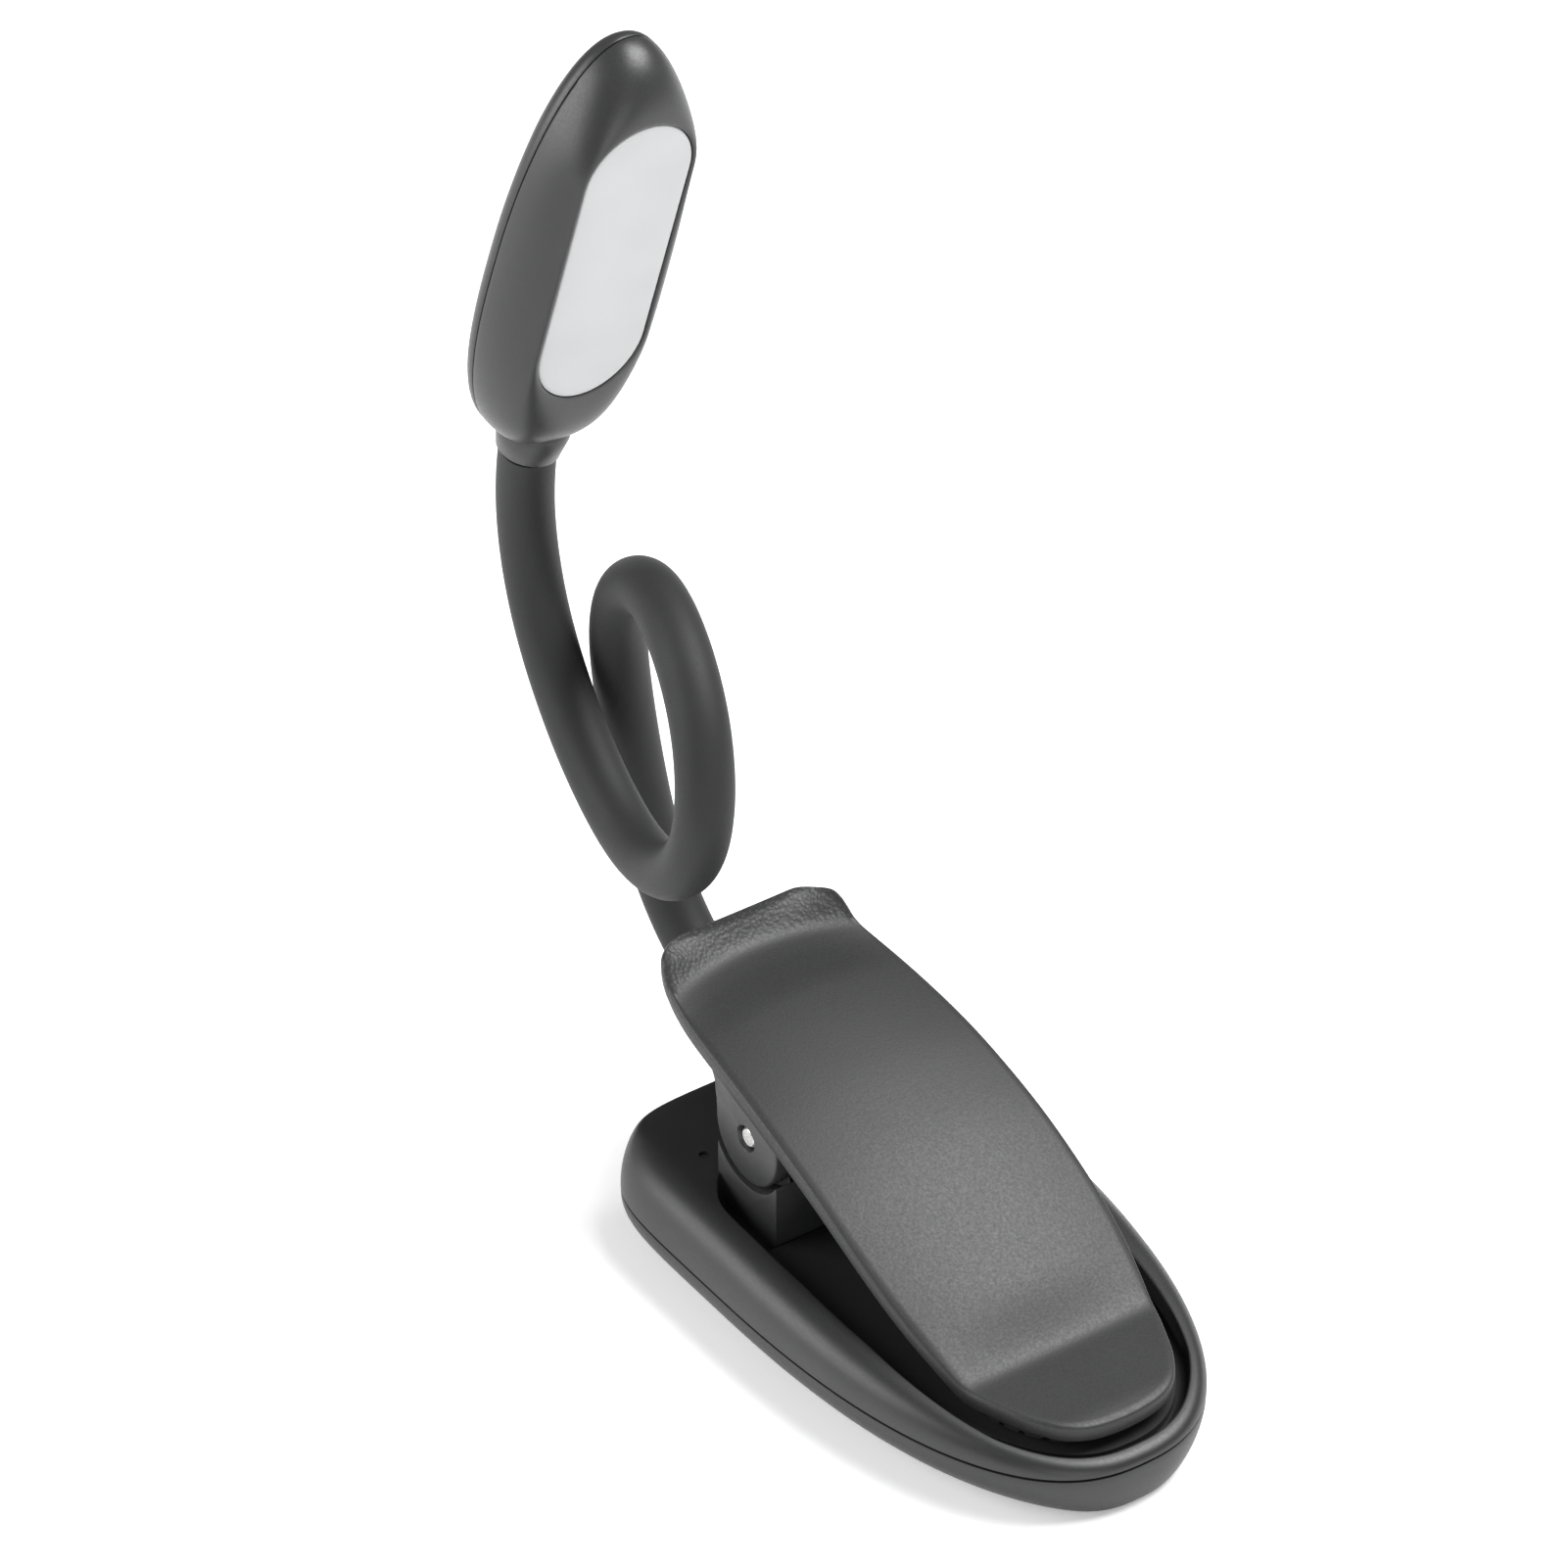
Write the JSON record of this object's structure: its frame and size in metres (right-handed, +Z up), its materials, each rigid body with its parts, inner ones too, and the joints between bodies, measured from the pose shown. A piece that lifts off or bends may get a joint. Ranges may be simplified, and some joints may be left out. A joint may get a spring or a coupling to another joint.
{
  "type": "clip-on reading lamp",
  "caption": "Small battery reading lamp: a sprung jaw clip with a flat base, a flexible neck curled into one loop, and an elongated LED head with a frosted diffuser.",
  "frame": {"origin": "centre of the base's flat underside", "axes": "+X towards the tip of the jaw, +Z up from the underside, the loop of the neck leans to -Y"},
  "size_m": [0.1341, 0.0538, 0.1688],
  "materials": {
    "shell_plastic": "satin moulded",
    "lever_plastic": "fine grained",
    "hinge_plastic": "satin",
    "sleeve_silicone": "matte",
    "core_steel": "wound wire",
    "pin_steel": "turned",
    "spring_steel": "drawn wire",
    "jaw_rubber": "matte",
    "head_plastic": "satin",
    "collar_plastic": "satin",
    "diffuser": "frosted",
    "reflector": "gloss",
    "board": "solder mask",
    "board_white": "solder mask",
    "led_package": "phosphor",
    "battery_foil": "foil pouch",
    "copper": "plated",
    "clear_plastic": "polished",
    "screw_steel": "zinc plated",
    "port_steel": "stamped"
  },
  "bodies": {
    "base": {"base_lower_shell": "shell_plastic", "base_upper_shell": "shell_plastic", "base_jaw_pad": "jaw_rubber", "hinge_block": "hinge_plastic", "hinge_pin": "pin_steel", "torsion_spring": "spring_steel", "battery_cell": "battery_foil", "control_board": "board", "charging_port": "port_steel", "touch_electrode": "copper", "indicator_light_pipe": "clear_plastic", "indicator_led": "led_package", "case_screws": "screw_steel", "hinge_block_screws": "screw_steel", "neck_collar": "collar_plastic", "neck_ferrule": "copper", "neck_sleeve_01": "sleeve_silicone", "neck_core_01": "core_steel"},
    "lever": {"lever": "lever_plastic", "lever_jaw_pad": "jaw_rubber"},
    "neck_02": {"neck_sleeve_02": "sleeve_silicone", "neck_core_02": "core_steel"},
    "neck_03": {"neck_sleeve_03": "sleeve_silicone", "neck_core_03": "core_steel"},
    "neck_04": {"neck_sleeve_04": "sleeve_silicone", "neck_core_04": "core_steel"},
    "neck_05": {"neck_sleeve_05": "sleeve_silicone", "neck_core_05": "core_steel"},
    "neck_06": {"neck_sleeve_06": "sleeve_silicone", "neck_core_06": "core_steel"},
    "neck_07": {"neck_sleeve_07": "sleeve_silicone", "neck_core_07": "core_steel"},
    "neck_08": {"neck_sleeve_08": "sleeve_silicone", "neck_core_08": "core_steel"},
    "neck_09": {"neck_sleeve_09": "sleeve_silicone", "neck_core_09": "core_steel"},
    "head": {"neck_sleeve_10": "sleeve_silicone", "neck_core_10": "core_steel", "head_collar": "collar_plastic", "head_front_shell": "head_plastic", "head_back_cover": "head_plastic", "diffuser": "diffuser", "reflector_frame": "reflector", "led_board": "board_white", "led_chips": "led_package"}
  },
  "joints": [
    {"name": "clip_hinge", "type": "hinge", "parent": "base", "child": "lever", "pos_m": [-0.0216, 0, 0.0253], "axis": [0, -1, 0], "range_deg": [0, 18], "stiffness_Nm_per_rad": 0.45, "springref_deg": -20.05, "deforming": ["torsion_spring"]},
    {"name": "neck_curl_1", "type": "hinge", "parent": "base", "child": "neck_02", "pos_m": [-0.05674, 0, 0.0256], "axis": [0, 1, 0], "range_deg": [-20, 20]},
    {"name": "neck_sway_2", "type": "hinge", "parent": "neck_02", "child": "neck_03", "pos_m": [-0.06972, -0.0002, 0.04191], "axis": [0.9509, -0.0166, 0.309], "range_deg": [-15, 15]},
    {"name": "neck_curl_3", "type": "hinge", "parent": "neck_03", "child": "neck_04", "pos_m": [-0.07441, -0.00099, 0.06366], "axis": [-0.0645, -0.9967, -0.0497], "range_deg": [-15, 15]},
    {"name": "neck_curl_4", "type": "hinge", "parent": "neck_04", "child": "neck_05", "pos_m": [-0.06068, -0.00579, 0.08845], "axis": [-0.2323, -0.972, -0.0344], "range_deg": [-10, 10]},
    {"name": "neck_curl_5", "type": "hinge", "parent": "neck_05", "child": "neck_06", "pos_m": [-0.03651, -0.01377, 0.08375], "axis": [0.2825, 0.9574, -0.0599], "range_deg": [-12, 0]},
    {"name": "neck_curl_6", "type": "hinge", "parent": "neck_06", "child": "neck_07", "pos_m": [-0.03557, -0.01611, 0.06205], "axis": [-0.2087, -0.9756, 0.0676], "range_deg": [-4, 12]},
    {"name": "neck_curl_7", "type": "hinge", "parent": "neck_07", "child": "neck_08", "pos_m": [-0.06012, -0.01196, 0.05448], "axis": [0.1805, 0.9832, 0.0276], "range_deg": [-15, 15]},
    {"name": "neck_sway_8", "type": "hinge", "parent": "neck_08", "child": "neck_09", "pos_m": [-0.07645, -0.00972, 0.06557], "axis": [0.7382, -0.1569, 0.6561], "range_deg": [-12, 12]},
    {"name": "neck_curl_9", "type": "hinge", "parent": "neck_09", "child": "head", "pos_m": [-0.08398, -0.0092, 0.08134], "axis": [-0.1339, -0.9905, -0.0295], "range_deg": [-20, 20]}
  ]
}
